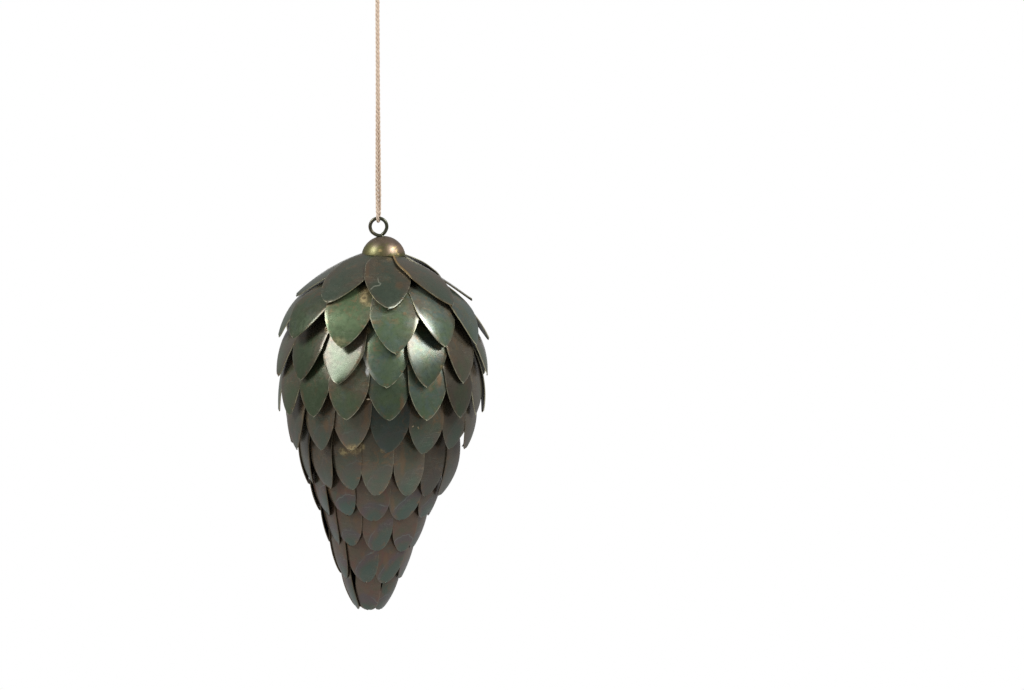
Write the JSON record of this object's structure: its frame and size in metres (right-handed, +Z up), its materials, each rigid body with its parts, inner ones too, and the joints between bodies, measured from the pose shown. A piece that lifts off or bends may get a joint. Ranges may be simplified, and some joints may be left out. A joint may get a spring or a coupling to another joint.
{
  "type": "hanging metal pine cone ornament",
  "caption": "Sheet-iron pine cone with overlapping pointed scales in rings on a hollow core, hung by a wire eye in a domed cap from a doubled jute cord.",
  "frame": {"origin": "underside of the knot at the top of the doubled cord, where a hook or branch carries the loop", "axes": "+Z up along the hanging cord, -Y towards the viewer, +X to the viewer's right; the wire eye's axis lies along Y"},
  "size_m": [0.1381, 0.1392, 0.4313],
  "materials": {
    "scales": "glossy lacquer over a dark green and brown heat patina",
    "core": "dark patina under lacquer",
    "cap": "olive-bronze patina under lacquer",
    "wire": "dark olive patina under lacquer",
    "jute": "natural twisted jute"
  },
  "bodies": {
    "root": {"core_dome": "core", "core_cone": "core", "tier_01_scales": "scales", "tier_02_scales": "scales", "tier_03_scales": "scales", "tier_04_scales": "scales", "tier_05_scales": "scales", "tier_06_scales": "scales", "tier_07_scales": "scales", "tier_08_scales": "scales", "tier_09_scales": "scales", "tier_10_scales": "scales", "cap": "cap", "hanging_ring": "wire", "hanging_cord": "jute", "cord_knot": "jute"}
  },
  "joints": []
}
